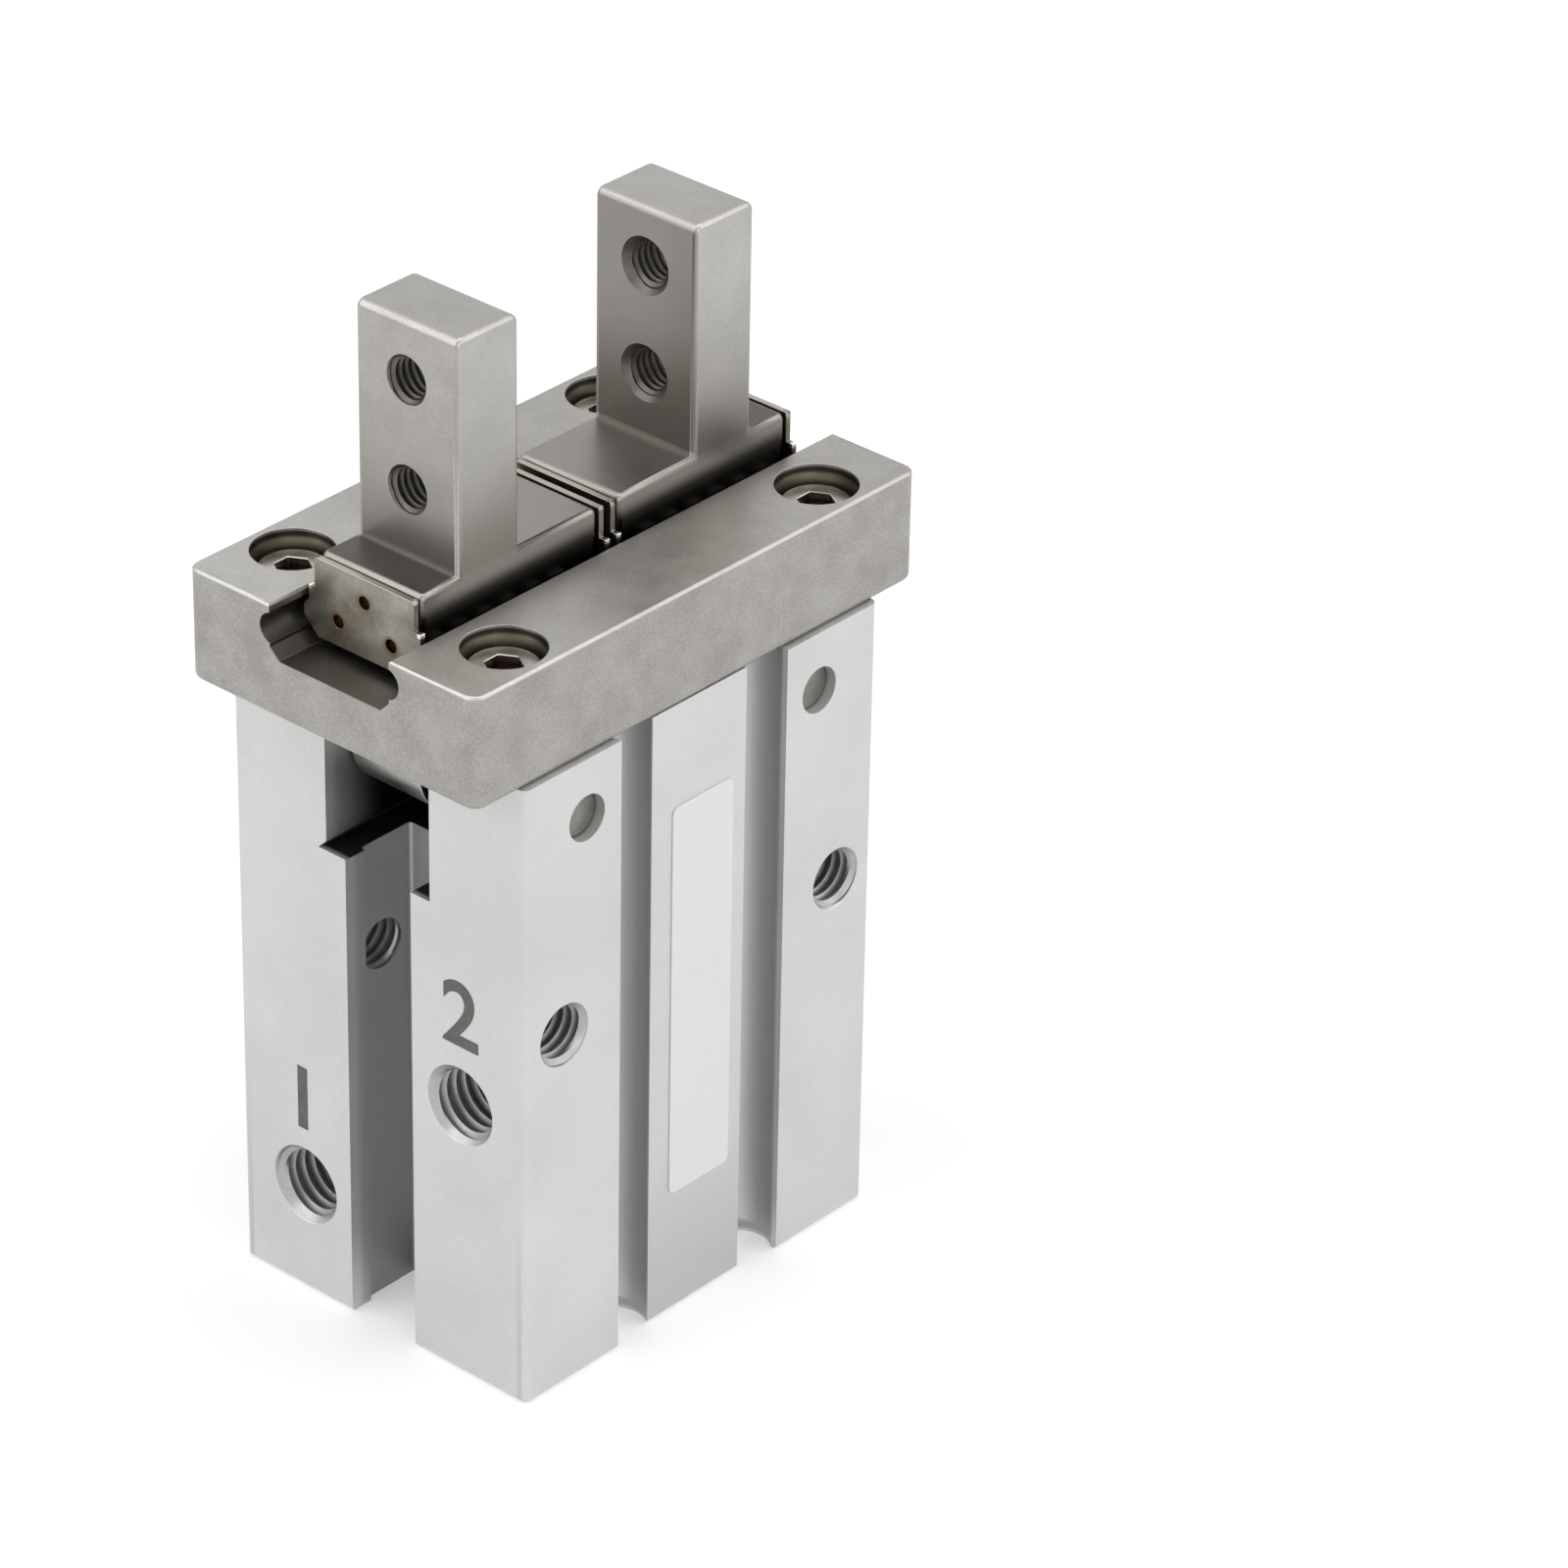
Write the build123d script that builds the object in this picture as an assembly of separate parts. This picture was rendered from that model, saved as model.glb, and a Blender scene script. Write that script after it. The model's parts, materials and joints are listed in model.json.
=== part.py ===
from build123d import *
from math import atan, cos, degrees, radians, sin, tan
import os

# Pneumatic parallel gripper: an aluminium cylinder housing, a steel guide on top of it and two fingers that
# slide apart on ball rows. A piston lifts its rod, two bell-crank levers turn on cross shafts and push the
# fingers outwards. Drawn closed, piston down.
#
# Frame: origin at the centre of the bottom mounting face, +X along the fingers' travel (ports on the -X
# face), +Y through the thickness, +Z up towards the fingers. Millimetres.

# Housing
body_length = 30.6
body_depth = 23.6
body_height = 42.5
body_corner = 0.5
body_edge = 0.2

# Sensor grooves and the recessed rib between them, on both wide faces
rib_width = 8.3
rib_recess = 0.45
groove_mouth = 3.05
groove_diameter = 4.1
groove_centre_depth = 1.75

# Slots down both narrow faces, a little wider behind their lips
slot_mouth = 5.3
slot_width = 6.0
slot_lip = 1.6
slot_depth = 5.8
slot_round = 0.3

# Lever pocket milled across the top of the housing
pocket_width = 8.4
pocket_depth = 10.4
pocket_undercut = 0.65

# Cylinder, from the bottom face up
locating_diameter = 17.0
locating_depth = 1.5
bore_diameter = 16.0
cylinder_top = 20.4

# Air ports on the -X face: the opening port low on the +Y column, the closing port higher on the -Y column
port_core = 4.2
port_mouth = 5.3
port_depth = 5.0
port_spread = 13.0
open_port_height = 7.5
close_port_height = 19.0
passage_diameter = 1.6

# Tapped holes in the wide faces and in the bottom, and the locating holes beside them
mount_core = 3.3
mount_mouth = 4.1
mount_pitch = 24.0
side_mount_height = 24.7
bottom_mount_depth = 8.0
bottom_mount_pitch_y = 13.0
locating_pin_diameter = 3.0
locating_pin_depth = 3.0

# Guide
guide_length = 38.0
guide_inset = 0.3
guide_height = 7.4
guide_floor = 3.9
guide_corner = 0.9
guide_bottom_round = 0.5
guide_top_edge = 0.15
channel_mouth = 9.5
channel_floor_width = 8.0
channel_corner_height = 0.7
channel_lip_edge = 0.15

# Screws that hold the guide, and the dowels that place it
screw_pitch_x = 26.8
screw_pitch_y = 16.8
screw_thread = 2.5
screw_length = 10.0
screw_head_diameter = 4.5
screw_head_height = 2.5
screw_socket = 2.0
screw_socket_depth = 1.2
screw_clearance_hole = 2.7
counterbore_diameter = 5.1
counterbore_depth = 3.6
screw_hole_spare = 1.2
screw_head_edge = 0.2
dowel_diameter = 2.0
dowel_length = 6.0
dowel_pitch = 16.0
dowel_hole_spare = 0.3

# Fingers
finger_width = 8.0
finger_thickness = 5.0
finger_gap_closed = 14.9
finger_height = 15.0
finger_round = 0.6
finger_edge = 0.35
finger_travel = 3.0
base_rise = 2.4
base_half_gap = 0.9
base_end_margin = 0.5
base_floor_gap = 0.4
base_round = 0.45
jaw_core = 2.5
jaw_inner_mouth = 3.7
jaw_outer_mouth = 3.1
jaw_hole_pitch = 7.0
jaw_hole_drop = 3.8

# Balls between the finger bases and the guide
ball_diameter = 2.0
ball_drop = 1.55
ball_spread = 9.0
ball_count = 6
ball_clearance = 0.03
ball_spacing = 0.02

# End plates that close the ball rows
plate_thickness = 0.4
plate_standoff = 0.2
pad_width = 6.4
pad_margin = 0.7
plate_top_drop = 0.15
plate_side_gap = 0.05
plate_ear_width = 8.9
plate_ear_drop = 2.1
plate_wing_width = 9.7
plate_wing_drop = 3.5
plate_wing_height = 0.7
plate_ear_height = 0.9
plate_bottom_gap = 0.2
plate_hole = 0.85
plate_hole_depth = 0.9
plate_hole_spread = 4.2
plate_upper_hole_drop = 1.7
plate_lower_hole_drop = 3.7

# Levers
pivot_spread = 20.2
pivot_drop = 3.9
shaft_diameter = 3.0
shaft_recess = 0.7
lever_reach_y = 4.0
lever_tongue_gap = 1.0
lever_boss_diameter = 6.5
lever_prong = 0.9
lever_tip = 1.0
lever_neck_width = 3.2
roller_diameter = 2.0
rod_roller_spread = 4.4
rod_roller_reach_y = 3.9
finger_roller_drop = 2.0
finger_roller_length = 6.2
running_clearance = 0.03
lever_side_gap = 0.35

# Piston, rod and what surrounds them
rod_diameter = 8.0
rod_clearance = 0.03
rod_tongue = 1.8
rod_shoulder_drop = 2.6
rod_tongue_rise = 1.9
piston_diameter = 15.8
piston_skirt_diameter = 14.2
piston_skirt_height = 1.5
piston_rest_gap = 0.05
cap_thickness = 3.6
cap_clearance = 0.05
cap_recess_diameter = 10.0
cap_recess_depth = 1.6
ring_thickness = 1.0
ring_groove_depth = 0.3
ring_ledge = 0.4
ring_width = 1.7
ring_opening = 50.0
ring_lug_diameter = 2.4
ring_lug_hole = 1.1
gasket_section = 1.2
gasket_groove = 1.6
bumper_diameter = 12.0
bumper_hole = 6.0
lower_bumper_height = 0.9
lower_bumper_sink = 0.5
upper_bumper_height = 1.0
upper_bumper_hole = 9.0
seal_height = 2.0
seal_depth = 2.0
seal_clearance = 0.05
magnet_height = 2.4
magnet_depth = 2.0
magnet_skin = 0.2
groove_land = 1.1
rod_seal_height = 2.2
rod_seal_depth = 1.8
rod_seal_drop = 2.0

# Heights and places that follow
guide_depth = body_depth - 2 * guide_inset
guide_bottom = body_height
guide_top = guide_bottom + guide_height
channel_floor = guide_bottom + guide_floor
base_top = guide_top + base_rise
base_bottom = channel_floor + base_floor_gap
finger_top = base_top + finger_height
ball_height = guide_top - ball_drop
pocket_floor = body_height - pocket_depth
pivot_x = pivot_spread / 2
pivot_z = body_height - pivot_drop
finger_roller_z = guide_top - finger_roller_drop
rod_roller_x = rod_roller_spread / 2
lever_rise = finger_roller_z - pivot_z
lever_run = pivot_x - rod_roller_x
half_swing = atan(finger_travel / 2 / lever_rise)
piston_stroke = 2 * lever_run * tan(half_swing)
rod_roller_z = pivot_z - piston_stroke / 2
finger_roller_x = pivot_x - finger_travel / 2
inner_face_x = finger_gap_closed / 2
base_outer_x = guide_length / 2 - finger_travel - base_end_margin
base_length = base_outer_x - base_half_gap
ball_groove = ball_diameter / 2 + ball_clearance
fork_half = roller_diameter / 2 + running_clearance
arm_half = fork_half + lever_prong
cap_bottom = locating_depth + ring_ledge + ring_thickness
cap_top = cap_bottom + cap_thickness
piston_bottom = cap_top - lower_bumper_sink + lower_bumper_height + piston_rest_gap
piston_top = cylinder_top - upper_bumper_height - piston_rest_gap - piston_stroke
magnet_bottom = piston_bottom + piston_skirt_height + groove_land
seal_bottom = magnet_bottom + magnet_height + groove_land
rod_seal_top = pocket_floor - rod_seal_drop
rod_seal_bottom = rod_seal_top - rod_seal_height


def block(x0, x1, y0, y1, z0, z1):
    """A box between two corners."""
    return Pos((x0 + x1) / 2, (y0 + y1) / 2, (z0 + z1) / 2) * Box(x1 - x0, y1 - y0, z1 - z0)


def pin(start, direction, diameter, length):
    """A cylinder from a start point along a direction."""
    return extrude(Plane(origin=start, z_dir=direction) * Circle(diameter / 2), length)


def tapped_hole(mouth, inward, core, mouth_diameter, depth):
    """A plain core hole with a 45 degree lead-in at its mouth."""
    lead = (mouth_diameter - core) / 2
    cone = Pos(0, 0, lead / 2) * Cone(mouth_diameter / 2, core / 2, lead)
    return pin(mouth, inward, core, depth) + Plane(origin=mouth, z_dir=inward) * cone


def turned(*points):
    """A solid of revolution about the cylinder's axis, from (radius, height) points."""
    return revolve(Plane.XZ * make_face(Polyline(*points, close=True)), Axis.Z)


def ring(outer, inner, bottom, height):
    """A flat ring on the cylinder's axis."""
    return extrude(Pos(0, 0, bottom) * (Circle(outer / 2) - Circle(inner / 2)), height)


def along_x(points, x0, x1):
    """A (y, z) outline, given on the +Y side only, mirrored and run from x0 to x1."""
    outline = points + [(-y, z) for y, z in reversed(points)]
    face = make_face(Polyline(*outline, close=True))
    return extrude(Plane(origin=(x0, 0, 0), x_dir=(0, 1, 0), z_dir=(1, 0, 0)) * face, x1 - x0)


def mirrored(solid):
    """The same piece on the +X side."""
    return mirror(solid, about=Plane.YZ)


def corners(pitch_x, pitch_y):
    """The four corners of a hole pattern about the middle."""
    return [(i * pitch_x / 2, j * pitch_y / 2) for i in (-1, 1) for j in (-1, 1)]


# Housing

def housing_profile():
    """Cross-section of the extrusion, seen from above."""
    profile = fillet(Rectangle(body_length, body_depth).vertices(), body_corner)
    groove_x = (rib_width + groove_mouth) / 2
    wide_face = body_depth / 2
    for side in (-1, 1):
        profile -= Pos(0, side * wide_face) * Rectangle(rib_width + groove_mouth, 2 * rib_recess)
        for end in (-1, 1):
            mouth = Pos(0, side * groove_centre_depth / 2) * Rectangle(groove_mouth, groove_centre_depth)
            groove = Circle(groove_diameter / 2) + mouth
            profile -= Pos(end * groove_x, side * (wide_face - groove_centre_depth)) * groove
    inner_depth = slot_depth - slot_lip
    for end in (-1, 1):
        face = end * body_length / 2
        inner = fillet(Rectangle(inner_depth, slot_width).vertices(), slot_round)
        slot = Pos(-end * slot_lip / 2, 0) * Rectangle(slot_lip + slot_round, slot_mouth)
        slot += Pos(-end * (slot_lip + inner_depth / 2), 0) * inner
        profile -= Pos(face, 0) * slot
    return profile


def lever_pocket():
    """The channel across the top that the levers swing in, undercut in its lower corner on the +Y side."""
    wall = pocket_width / 2
    outline = Polyline((-wall, pocket_floor), (wall + pocket_undercut, pocket_floor),
                       (wall, pocket_floor + pocket_undercut), (wall, guide_top), (-wall, guide_top),
                       close=True)
    across = Plane(origin=(-body_length, 0, 0), x_dir=(0, 1, 0), z_dir=(1, 0, 0))
    return extrude(across * make_face(outline), 2 * body_length)


def cylinder_bore():
    """Locating recess, bore, retaining ring groove, rod bore and rod seal groove, in one turned cut."""
    bore = bore_diameter / 2
    groove = bore + ring_groove_depth
    ring_bottom = cap_bottom - ring_thickness
    rod_bore = rod_diameter / 2 + rod_clearance
    seal = rod_diameter / 2 + rod_seal_depth
    return turned((0, 0), (locating_diameter / 2, 0), (locating_diameter / 2, locating_depth),
                  (bore, locating_depth), (bore, ring_bottom), (groove, ring_bottom), (groove, cap_bottom),
                  (bore, cap_bottom), (bore, cylinder_top), (rod_bore, cylinder_top),
                  (rod_bore, rod_seal_bottom), (seal, rod_seal_bottom), (seal, rod_seal_top),
                  (rod_bore, rod_seal_top), (rod_bore, body_height), (0, body_height))


def air_ports():
    """Tapped ports in the -X face, each with a drilled passage into the bore."""
    cuts = []
    face = -body_length / 2
    for y, height in ((port_spread / 2, open_port_height), (-port_spread / 2, close_port_height)):
        cuts.append(tapped_hole((face, y, height), (1, 0, 0), port_core, port_mouth, port_depth))
        cuts.append(pin((face, y, height), (1, 0, 0), passage_diameter, body_length / 2))
    return cuts


def mounting_holes():
    """Tapped holes in both wide faces, which break into the slots, and tapped and locating holes below."""
    cuts = []
    for side in (-1, 1):
        for end in (-1, 1):
            mouth = (end * mount_pitch / 2, side * body_depth / 2, side_mount_height)
            cuts.append(tapped_hole(mouth, (0, -side, 0), mount_core, mount_mouth, body_depth / 2))
    for end in (-1, 1):
        x, y = end * mount_pitch / 2, end * bottom_mount_pitch_y / 2
        cuts.append(tapped_hole((x, y, 0), (0, 0, 1), mount_core, mount_mouth, bottom_mount_depth))
        cuts.append(pin((x, -y, 0), (0, 0, 1), locating_pin_diameter, locating_pin_depth))
    return cuts


def assembly_holes():
    """Shaft bores, tapped holes for the guide's screws and holes for its dowels."""
    cuts = []
    for end in (-1, 1):
        cuts.append(pin((end * pivot_x, -body_depth / 2, pivot_z), (0, 1, 0), shaft_diameter, body_depth))
        cuts.append(pin((0, end * dowel_pitch / 2, body_height), (0, 0, -1), dowel_diameter,
                        dowel_length / 2 + dowel_hole_spare))
    hole_depth = screw_length - (guide_height - counterbore_depth) + screw_hole_spare
    for x, y in corners(screw_pitch_x, screw_pitch_y):
        cuts.append(pin((x, y, body_height), (0, 0, -1), screw_thread, hole_depth))
    return cuts


def housing():
    solid = extrude(housing_profile(), body_height)
    rim = solid.faces().sort_by(Axis.Z)[0].outer_wire().edges().filter_by(GeomType.LINE)
    # Only the edges of the outer faces: those inside the slots and grooves are shorter than a slot is wide.
    solid = chamfer(rim.filter_by(lambda edge: edge.length > slot_width), body_edge)
    return solid - [lever_pocket(), cylinder_bore()] - air_ports() - mounting_holes() - assembly_holes()


# Guide

def guide():
    """The steel rail block: a ball channel, two windows for the levers and four counterbored holes."""
    solid = Pos(0, 0, guide_bottom + guide_height / 2) * Box(guide_length, guide_depth, guide_height)
    solid = fillet(solid.edges().filter_by(Axis.Z), guide_corner)
    solid = fillet(solid.faces().sort_by(Axis.Z)[0].edges(), guide_bottom_round)
    solid = chamfer(solid.faces().sort_by(Axis.Z)[-1].edges(), guide_top_edge)
    mouth = channel_mouth / 2
    channel = [(channel_floor_width / 2, channel_floor), (mouth, channel_floor + channel_corner_height),
               (mouth, guide_top - channel_lip_edge), (mouth + channel_lip_edge, guide_top),
               (mouth + channel_lip_edge, guide_top + channel_lip_edge)]
    solid -= along_x(channel, -guide_length, guide_length)
    for side in (-1, 1):
        race = (-guide_length, side * ball_spread / 2, ball_height)
        solid -= pin(race, (1, 0, 0), 2 * ball_groove, 2 * guide_length)
        solid -= pin((0, side * dowel_pitch / 2, guide_bottom), (0, 0, 1), dowel_diameter,
                     dowel_length / 2 + dowel_hole_spare)
    reach = (channel_floor - pivot_z) * tan(half_swing) + arm_half / cos(half_swing) + lever_side_gap
    width = lever_neck_width / 2 + lever_side_gap
    for end in (-1, 1):
        solid -= block(end * pivot_x - reach, end * pivot_x + reach, -width, width, 0, base_bottom)
    for x, y in corners(screw_pitch_x, screw_pitch_y):
        solid -= pin((x, y, guide_top), (0, 0, -1), counterbore_diameter, counterbore_depth)
        solid -= pin((x, y, guide_top), (0, 0, -1), screw_clearance_hole, guide_height)
    return solid


def guide_screws():
    """Socket-head screws, sunk in the guide's counterbores."""
    seat = guide_top - counterbore_depth
    screws = []
    for x, y in corners(screw_pitch_x, screw_pitch_y):
        head = Pos(x, y, seat + screw_head_height / 2) * Cylinder(screw_head_diameter / 2, screw_head_height)
        head = chamfer(head.edges().sort_by(Axis.Z)[-1], screw_head_edge)
        socket = RegularPolygon(screw_socket / 2, 6, major_radius=False)
        head -= extrude(Pos(x, y, seat + screw_head_height) * socket, -screw_socket_depth)
        screws.append(head + pin((x, y, seat), (0, 0, -1), screw_thread, screw_length))
    return screws


def dowel_pins():
    """Two dowels, half in the housing and half in the guide."""
    return [Pos(0, side * dowel_pitch / 2, guide_bottom) * Cylinder(dowel_diameter / 2, dowel_length)
            for side in (-1, 1)]


# Fingers, drawn on the -X side

def finger_outline():
    """Side view of a finger: a base with the upright on it."""
    outer, inner = -base_outer_x, -base_half_gap
    back, front = -inner_face_x - finger_thickness, -inner_face_x
    outline = make_face(Polyline((outer, base_bottom), (inner, base_bottom), (inner, base_top),
                                 (front, base_top), (front, finger_top), (back, finger_top),
                                 (back, base_top), (outer, base_top), close=True))
    shoulders = outline.vertices().group_by(Axis.Y)[1].sort_by(Axis.X)
    outline = fillet([shoulders[0], shoulders[-1]], base_round)
    return fillet(outline.vertices().group_by(Axis.Y)[-1], finger_round)


def finger():
    """One finger with its ball grooves, lever slot, roller seat and tapped jaw holes."""
    solid = extrude(Plane.XZ * finger_outline(), finger_width / 2, both=True)
    sides = solid.faces().sort_by(Axis.Y)
    rims = (sides[0].edges() + sides[-1].edges()).filter_by(lambda edge: edge.center().Z > ball_height)
    solid = fillet(rims, finger_edge)
    solid += block(-base_outer_x - plate_standoff, -base_half_gap + plate_standoff, -pad_width / 2,
                   pad_width / 2, base_bottom + pad_margin, base_top - pad_margin)
    for side in (-1, 1):
        groove = (-base_outer_x, side * ball_spread / 2, ball_height)
        solid -= pin(groove, (1, 0, 0), 2 * ball_groove, base_length)
    solid -= lever_slot()
    for height in jaw_hole_heights():
        inner_mouth = (-inner_face_x, 0, height)
        outer_mouth = (-inner_face_x - finger_thickness, 0, height)
        solid -= tapped_hole(inner_mouth, (-1, 0, 0), jaw_core, jaw_inner_mouth, finger_thickness)
        solid -= tapped_hole(outer_mouth, (1, 0, 0), jaw_core, jaw_outer_mouth, finger_thickness)
    for x, inward in plate_seats():
        for y, height in plate_holes():
            solid -= pin((x, y, height), (inward, 0, 0), plate_hole, plate_hole_depth)
    return solid


def jaw_hole_heights():
    upper = finger_top - jaw_hole_drop
    return (upper, upper - jaw_hole_pitch)


def lever_slot():
    """Slot under the finger for the lever's neck, crossed by the round-topped seat of its roller."""
    tip = lever_tip * cos(half_swing) + arm_half * tan(half_swing)
    top = finger_roller_z + tip + lever_side_gap
    below = (finger_roller_z - base_bottom) * tan(half_swing)
    reach = arm_half / cos(half_swing) + below + lever_side_gap
    width = lever_neck_width / 2 + lever_side_gap
    slot = block(-finger_roller_x - reach, -finger_roller_x + reach, -width, width, channel_floor, top)
    seat_half = finger_roller_length / 2 + running_clearance
    seat = block(-finger_roller_x - fork_half, -finger_roller_x + fork_half, -seat_half, seat_half,
                 channel_floor, finger_roller_z)
    seat += pin((-finger_roller_x, -seat_half, finger_roller_z), (0, 1, 0), 2 * fork_half, 2 * seat_half)
    return slot + seat


def plate_seats():
    """The two seats on the ends of a finger's base, each with the direction into the finger."""
    return ((-base_outer_x - plate_standoff, 1), (-base_half_gap + plate_standoff, -1))


def plate_holes():
    upper = base_top - plate_upper_hole_drop
    lower = base_top - plate_lower_hole_drop
    return ((0, upper), (-plate_hole_spread / 2, lower), (plate_hole_spread / 2, lower))


def end_plate(x):
    """A thin plate across the end of a finger's base, with wings that hold the balls in their rows."""
    top = finger_width / 2 - plate_side_gap
    ear = plate_ear_width / 2
    wing = plate_wing_width / 2
    bottom = base_bottom + plate_bottom_gap
    ear_z = base_top - plate_ear_drop
    wing_z = base_top - plate_wing_drop
    outline = [(wing - (wing_z - plate_wing_height - bottom), bottom), (wing, wing_z - plate_wing_height),
               (wing, wing_z), (ear, ear_z - plate_ear_height), (ear, ear_z), (top, ear_z),
               (top, base_top - plate_top_drop)]
    plate = along_x(outline, x, x + plate_thickness)
    for y, height in plate_holes():
        plate -= pin((x, y, height), (1, 0, 0), plate_hole, plate_thickness)
    return plate


def outer_end_plate():
    return end_plate(-base_outer_x - plate_standoff - plate_thickness)


def inner_end_plate():
    return end_plate(-base_half_gap + plate_standoff)


def ball_row(side):
    """One row of balls between the finger and the guide, a quarter travel outwards when closed."""
    middle = base_half_gap + base_length / 2 + finger_travel / 4
    pitch = ball_diameter + ball_spacing
    balls = []
    for i in range(ball_count):
        x = -middle + (i - (ball_count - 1) / 2) * pitch
        balls.append(Pos(x, side * ball_spread / 2, ball_height) * Sphere(ball_diameter / 2))
    return balls


def finger_roller():
    return pin((-finger_roller_x, -finger_roller_length / 2, finger_roller_z), (0, 1, 0),
               roller_diameter, finger_roller_length)


# Levers, drawn about their shaft in the closed position

def forked_arm(length):
    """Side view of an arm along +X that ends in a fork for a roller at the given length."""
    arm = Pos((length + lever_tip) / 2, 0) * Rectangle(length + lever_tip, 2 * arm_half)
    notch = Pos(length, 0) * Circle(fork_half)
    notch += Pos(length + lever_tip, 0) * Rectangle(2 * lever_tip, 2 * fork_half)
    return arm - notch


def left_lever():
    """A bell crank: its neck forks over the finger's roller, a cheek on the +Y side over the rod's roller."""
    closed = Pos(-pivot_x, pivot_z) * Rot(0, 0, -degrees(half_swing))
    boss = Circle(lever_boss_diameter / 2)
    neck = closed * (boss + Rot(0, 0, 90) * forked_arm(lever_rise))
    cheek = Plane.XZ.offset(-lever_tongue_gap) * closed * (boss + forked_arm(lever_run))
    solid = extrude(Plane.XZ * neck, lever_neck_width / 2, both=True)
    solid += extrude(cheek, lever_tongue_gap - lever_reach_y)
    bore = shaft_diameter + 2 * running_clearance
    return solid - pin((-pivot_x, -lever_reach_y, pivot_z), (0, 1, 0), bore, 2 * lever_reach_y)


def lever_shafts():
    """Cross shafts pressed through both walls of the housing, sunk a little below the wide faces."""
    length = body_depth - 2 * shaft_recess
    return [pin((end * pivot_x, -length / 2, pivot_z), (0, 1, 0), shaft_diameter, length) for end in (-1, 1)]


# Piston and cylinder pieces

def piston():
    """Piston and rod in one: skirt, magnet groove, seal groove, rod and the flat tongue at its top."""
    outer, skirt = piston_diameter / 2, piston_skirt_diameter / 2
    shaft = rod_diameter / 2
    shoulder = rod_roller_z - rod_shoulder_drop
    tongue_top = rod_roller_z + rod_tongue_rise
    solid = turned((0, piston_bottom), (skirt, piston_bottom), (skirt, piston_bottom + piston_skirt_height),
                   (outer, piston_bottom + piston_skirt_height), (outer, piston_top), (shaft, piston_top),
                   (shaft, tongue_top), (0, tongue_top))
    solid -= ring(2 * piston_diameter, piston_diameter - 2 * magnet_depth, magnet_bottom, magnet_height)
    solid -= ring(2 * piston_diameter, piston_diameter - 2 * seal_depth, seal_bottom, seal_height)
    for side in (-1, 1):
        flat = side * (rod_tongue / 2 + rod_diameter)
        solid -= block(-rod_diameter, rod_diameter, flat - rod_diameter, flat + rod_diameter,
                       shoulder, body_height)
    for end in (-1, 1):
        seat = (end * rod_roller_x, -rod_tongue, rod_roller_z)
        solid -= pin(seat, (0, 1, 0), roller_diameter, 2 * rod_tongue)
    return solid


def rod_rollers():
    """Rollers pressed across the rod's tongue: each stands out on the side of its own lever's fork."""
    return [pin((end * rod_roller_x, end * rod_tongue / 2, rod_roller_z), (0, -end, 0), roller_diameter,
                rod_tongue / 2 + rod_roller_reach_y) for end in (-1, 1)]


def magnet_ring():
    outer = piston_diameter - 2 * magnet_skin
    return ring(outer, piston_diameter - 2 * magnet_depth, magnet_bottom, magnet_height)


def piston_seal():
    outer = bore_diameter - 2 * seal_clearance
    return ring(outer, piston_diameter - 2 * seal_depth, seal_bottom, seal_height)


def rod_seal():
    inner = rod_diameter + 2 * seal_clearance
    return ring(rod_diameter + 2 * rod_seal_depth, inner, rod_seal_bottom, rod_seal_height)


def end_cap():
    """The plug that closes the bore, with a gasket groove round it and a seat for the lower bumper."""
    edge = bore_diameter / 2 - cap_clearance
    groove = bore_diameter / 2 - gasket_section
    groove_bottom = cap_bottom + (cap_thickness - gasket_groove) / 2
    recess = cap_recess_diameter / 2
    seat = bumper_diameter / 2
    recess_top = cap_bottom + cap_recess_depth
    return turned((0, recess_top), (recess, recess_top), (recess, cap_bottom), (edge, cap_bottom),
                  (edge, groove_bottom), (groove, groove_bottom),
                  (groove, groove_bottom + gasket_groove), (edge, groove_bottom + gasket_groove),
                  (edge, cap_top), (seat, cap_top), (seat, cap_top - lower_bumper_sink),
                  (0, cap_top - lower_bumper_sink))


def cap_gasket():
    """O-ring between the end cap and the bore."""
    section = gasket_section / 2
    centre = (bore_diameter / 2 - section, 0, cap_bottom + cap_thickness / 2)
    return revolve(Plane(origin=centre, x_dir=(1, 0, 0), z_dir=(0, -1, 0)) * Circle(section), Axis.Z)


def retaining_ring():
    """Open snap ring under the end cap, with a drilled lug at each end."""
    outer = bore_diameter / 2 + ring_groove_depth
    lug_radius = outer - ring_width * 3 / 4
    turns = [side * radians(ring_opening / 2) for side in (-1, 1)]
    wedge = [(0, 0)] + [(2 * outer * cos(turn), 2 * outer * sin(turn)) for turn in turns]
    profile = Circle(outer) - Circle(outer - ring_width) - make_face(Polyline(*wedge, close=True))
    lugs = [Pos(lug_radius * cos(turn), lug_radius * sin(turn)) for turn in turns]
    for lug in lugs:
        profile += lug * Circle(ring_lug_diameter / 2)
    for lug in lugs:
        profile -= lug * Circle(ring_lug_hole / 2)
    return extrude(Pos(0, 0, cap_bottom - ring_thickness) * profile, ring_thickness)


def lower_bumper():
    """Damping ring set into the end cap."""
    return ring(bumper_diameter, bumper_hole, cap_top - lower_bumper_sink, lower_bumper_height)


def upper_bumper():
    """Damping ring under the top of the cylinder."""
    return ring(bumper_diameter, upper_bumper_hole, cylinder_top - upper_bumper_height, upper_bumper_height)


# Nodes

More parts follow.
